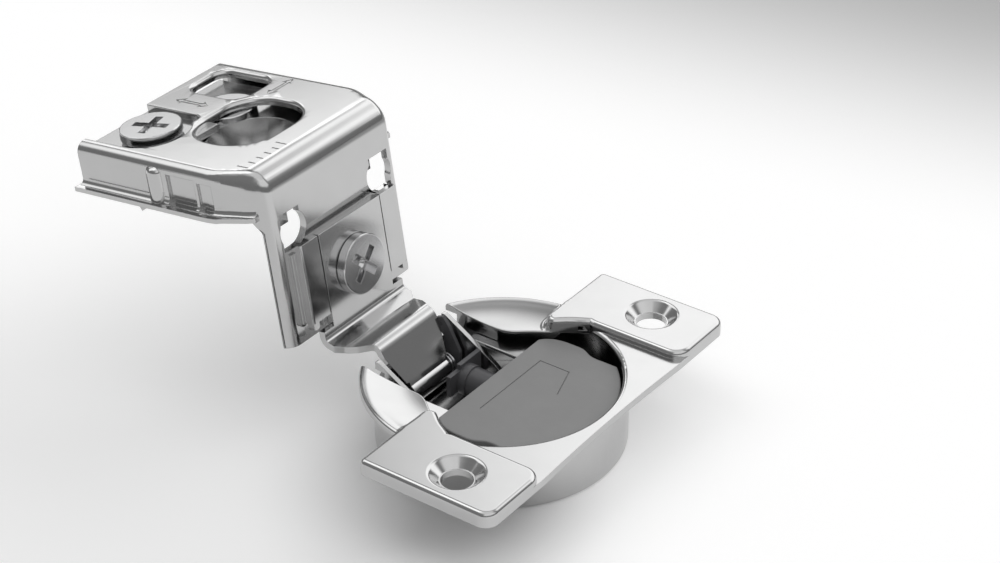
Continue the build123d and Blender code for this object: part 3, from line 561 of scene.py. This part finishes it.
def finish_copy(mesh: bmesh.types.BMesh, name: str) -> bpy.types.Object:
    """Turn a changed copy of a node's mesh into an object that is smooth between its sharp edges.

    Args:
        mesh: the shape; it is freed.
        name: the object's name.

    Returns:
        The object.
    """
    made = finish_mesh(mesh, name)
    made.data.attributes.remove(made.data.attributes["custom_normal"])
    made.data.set_sharp_from_angle(angle=SHARP_EDGE)
    return made


def ease(value: float, start: float, end: float) -> float:
    """A smooth rise from 0 at start to 1 at end."""
    part = min(max((value - start) / (end - start), 0.0), 1.0)
    return part * part * (3.0 - 2.0 * part)


@dataclass
class BracketCover:
    """The bracket's outer pressing, with the full soft corners of a deep-drawn sheet.

    It starts from the frame's own piece. Sizes are millimetres in the
    bracket's frame: U runs along the top plate to the leg, W up from it.
    """

    node: bpy.types.Object
    tilt: float = 8.0
    corner: tuple = (-29.1, 28.2)
    sheet: float = 1.1
    # half widths, and where the walls of the frame's piece bend inwards
    top_half: float = 15.5
    leg_half: float = 13.8
    bend_u: float = -6.0
    neck_u: float = -1.6
    # how far the soft curve runs past the two bends, and which part of the width follows it
    before_bend: float = 2.5
    past_neck: float = 1.2
    drawn_from: float = 4.0
    drawn_to: float = 1.2
    # outside radii: of the fold, of the edges along the walls, and of these edges at the front
    fold: float = 3.3
    roll: float = 1.5
    front_roll: float = 2.0
    # the front's radii take over from this far before the bend to this far past the fold's start
    front_from: float = 1.5
    front_to: float = 0.8
    # the flange at the foot and the lip behind the leg
    foot_top: float = -6.0
    foot_low: float = -7.0
    foot_thickness: float = 0.65
    lip: float = 3.0
    trimmed_lip: float = 1.15
    trim_length: float = 1.8
    # how near a point may lie to a face of the frame's piece and still count as on it
    slack: float = 0.1
    # cuts: their number and how they crowd towards the corner, then first place, step and number
    steps: int = 8
    crowding: float = 1.4
    front_steps: int = 5
    bend_cuts: tuple = (-9.0, 0.7, 8)
    lip_cuts: tuple = (-7.05, -0.35, 6)
    plane_slack: float = 0.002

    def _frame(self) -> Matrix:
        """From the bracket's millimetres to the hinge's metres."""
        x, z = self.corner
        turn = Matrix.Rotation(-radians(self.tilt), 4, "Y")
        return Matrix.Scale(MM, 4) @ Matrix.Translation((x, 0, z)) @ turn

    def _half(self, u: float) -> float:
        """Half width of the pressing as it is folded in the frame's piece."""
        part = min(max((u - self.bend_u) / (self.neck_u - self.bend_u), 0.0), 1.0)
        return self.top_half + (self.leg_half - self.top_half) * part

    def _soft_half(self, u: float) -> float:
        """Half width with the two bends drawn into one soft curve."""
        part = ease(u, self.bend_u - self.before_bend, self.neck_u + self.past_neck)
        return self.top_half + (self.leg_half - self.top_half) * part

    def _cuts(self) -> list:
        """Planes that give the corners enough faces to be round, as (axis, place)."""
        near = [-self.fold * (k / self.steps) ** self.crowding for k in range(1, self.steps + 1)]
        cuts = [(0, u) for u in near] + [(2, w) for w in near]
        for axis, (first, step, number) in ((0, self.bend_cuts), (2, self.lip_cuts)):
            cuts += [(axis, first + step * k) for k in range(number)]
        for k in range(self.front_steps):
            place = self.leg_half - self.front_roll * (1.0 - k / self.front_steps)
            cuts += [(1, place), (1, -place)]
        return cuts

    def _bend(self, place: Vector) -> Vector:
        """Where a point of the frame's piece goes in the softly drawn one.

        Args:
            place: the point, in the bracket's frame.

        Returns:
            The point's new place.
        """
        u, y, w = place
        side = 1.0 if y >= 0 else -1.0
        y = abs(y)
        half, soft_half = self._half(u), self._soft_half(u)
        inside = min(-u, -w, half - y) > self.sheet / 2
        y += (soft_half - half) * ease(y, half - self.drawn_from, half - self.drawn_to)
        u, w = self._trimmed(u, y, w)
        wall = self.sheet if inside else 0.0
        front = ease(u, self.bend_u - self.front_from, -self.fold + self.front_to)
        radii = (self.fold, self.roll + (self.front_roll - self.roll) * front,
                 self.roll + (self.fold - self.roll) * front)
        # how far the point reaches into the rounded corner, along each axis
        reach = (u + radii[0], 0.0 if inside else y - self._soft_half(u) + radii[1], w + radii[2])
        parts = [min(max(r / (radius - wall), 0.0), 1.0) for r, radius in zip(reach, radii)]
        length = sum(part * part for part in parts) ** 0.5
        if length > 1.0:
            pull = [radius * part * (1.0 / length - 1.0) for radius, part in zip(radii, parts)]
            u, y, w = u + pull[0], y + pull[1], w + pull[2]
        return Vector((u, side * y, w))

    def _trimmed(self, u: float, y: float, w: float) -> tuple:
        """Make the lip behind the leg narrow and the flange at the foot thin.

        Args:
            u: the point's place along the top plate.
            y: its distance from the middle plane.
            w: its height.

        Returns:
            The new place along the top plate, and the new height.
        """
        behind_wall = u < -self.sheet - self.slack / 2 and y > self.leg_half - self.sheet - self.slack
        if w < self.foot_low - self.slack / 10:
            part = ease(w, self.foot_low, self.foot_low - self.trim_length)
            u = max(u, -self.lip - (self.trimmed_lip - self.lip) * part)
        elif w < self.foot_top - self.slack and behind_wall:
            w = max(w, self.foot_top - self.foot_thickness)
        return u, w

    def build(self, palette: Palette) -> bpy.types.Object:
        """Make the piece and dress it.

        Args:
            palette: the finishes.

        Returns:
            The piece.
        """
        mesh = merged_copy(self.node)
        bmesh.ops.transform(mesh, matrix=self._frame().inverted(), verts=mesh.verts)
        for axis, place in self._cuts():
            normal = Vector.Fill(3)
            normal[axis] = 1.0
            bmesh.ops.bisect_plane(mesh, geom=[*mesh.verts, *mesh.edges, *mesh.faces], dist=self.plane_slack,
                                   plane_co=place * normal, plane_no=normal)
        for vert in mesh.verts:
            vert.co = self._bend(vert.co)
        bmesh.ops.transform(mesh, matrix=self._frame(), verts=mesh.verts)
        piece = finish_copy(mesh, "drawn_bracket_cover")
        weighted = piece.modifiers.new("flat_faces", "WEIGHTED_NORMAL")
        weighted.keep_sharp = True
        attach(piece, "bracket")
        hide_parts("bracket_cover")
        palette.dress(piece, "plated_sheet")
        LOG.info("made %s", piece.name)
        return piece


@dataclass
class PivotCarrier:
    """The U-shaped insert with the two flat wings that hold it in the cup.

    The cheeks and their base are the frame's own; the wings lie under the
    cup's lips, between the cheeks and the cup's wall. Sizes are millimetres.
    """

    node: bpy.types.Object
    cheek_out: float = 7.8
    cup_radius: float = 16.3
    back: float = -11.4
    front: float = -1.6
    top: float = -1.85
    thickness: float = 0.5
    edge: float = 0.12
    edge_segments: int = 3
    round_segments: int = 120

    def _wing(self, side: int) -> bmesh.types.BMesh:
        """Make one wing: a disc of the cup's bore, cut at the cheek, the back and the front.

        Args:
            side: 1 for the far wing, -1 for the near one.

        Returns:
            The wing's shape.
        """
        wing = bmesh.new()
        bmesh.ops.create_circle(
            wing, cap_ends=True, segments=self.round_segments, radius=self.cup_radius * MM)
        bmesh.ops.translate(wing, verts=wing.verts, vec=(0, 0, (self.top - self.thickness) * MM))
        for place, normal in (((0, side * self.cheek_out, 0), (0, -side, 0)),
                              ((self.back, 0, 0), (-1, 0, 0)), ((self.front, 0, 0), (1, 0, 0))):
            bmesh.ops.bisect_plane(wing, geom=[*wing.verts, *wing.edges, *wing.faces], clear_outer=True,
                                   plane_co=[part * MM for part in place], plane_no=normal)
        raised = bmesh.ops.extrude_face_region(wing, geom=wing.faces[:], use_keep_orig=True)["geom"]
        lid = [part for part in raised if isinstance(part, bmesh.types.BMVert)]
        bmesh.ops.translate(wing, verts=lid, vec=(0, 0, self.thickness * MM))
        rim = [part for part in raised if isinstance(part, bmesh.types.BMEdge)]
        bmesh.ops.bevel(wing, geom=rim, offset=self.edge * MM, affect="EDGES",
                        segments=self.edge_segments, profile=0.5, material=-1)
        return wing

    def build(self, palette: Palette) -> bpy.types.Object:
        """Make the piece and dress it.

        Args:
            palette: the finishes.

        Returns:
            The piece.
        """
        mesh = merged_copy(self.node)
        for side in (1, -1):
            wing, data = self._wing(side), bpy.data.meshes.new("wing")
            wing.to_mesh(data)
            mesh.from_mesh(data)
            wing.free()
            bpy.data.meshes.remove(data)
        piece = finish_copy(mesh, "winged_carrier")
        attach(piece, "cup")
        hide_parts("pivot_carrier")
        palette.dress(piece, "satin_sheet")
        LOG.info("made %s", piece.name)
        return piece


@dataclass
class CarriedOver:
    """The frame's own nodes that keep their mesh."""

    nodes: dict
    slots: dict

    def dress(self, palette: Palette) -> None:
        """Give every node its finish."""
        for name, node in self.nodes.items():
            palette.dress(node, self.slots[name])
            LOG.info("dressed %s", name)


def main() -> None:
    """Build the scene round the frame."""
    logging.basicConfig(level=logging.INFO)
    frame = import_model()
    slots = {row["node"]: row["material_slot"] for row in frame["record"]["subparts"]}
    palette = Palette()
    CarriedOver(frame["nodes"], slots).dress(palette)
    BracketCover(frame["nodes"]["bracket_cover"]).build(palette)
    PivotCarrier(frame["nodes"]["pivot_carrier"]).build(palette)
    Studio().build()


if __name__ == "__main__":
    main()
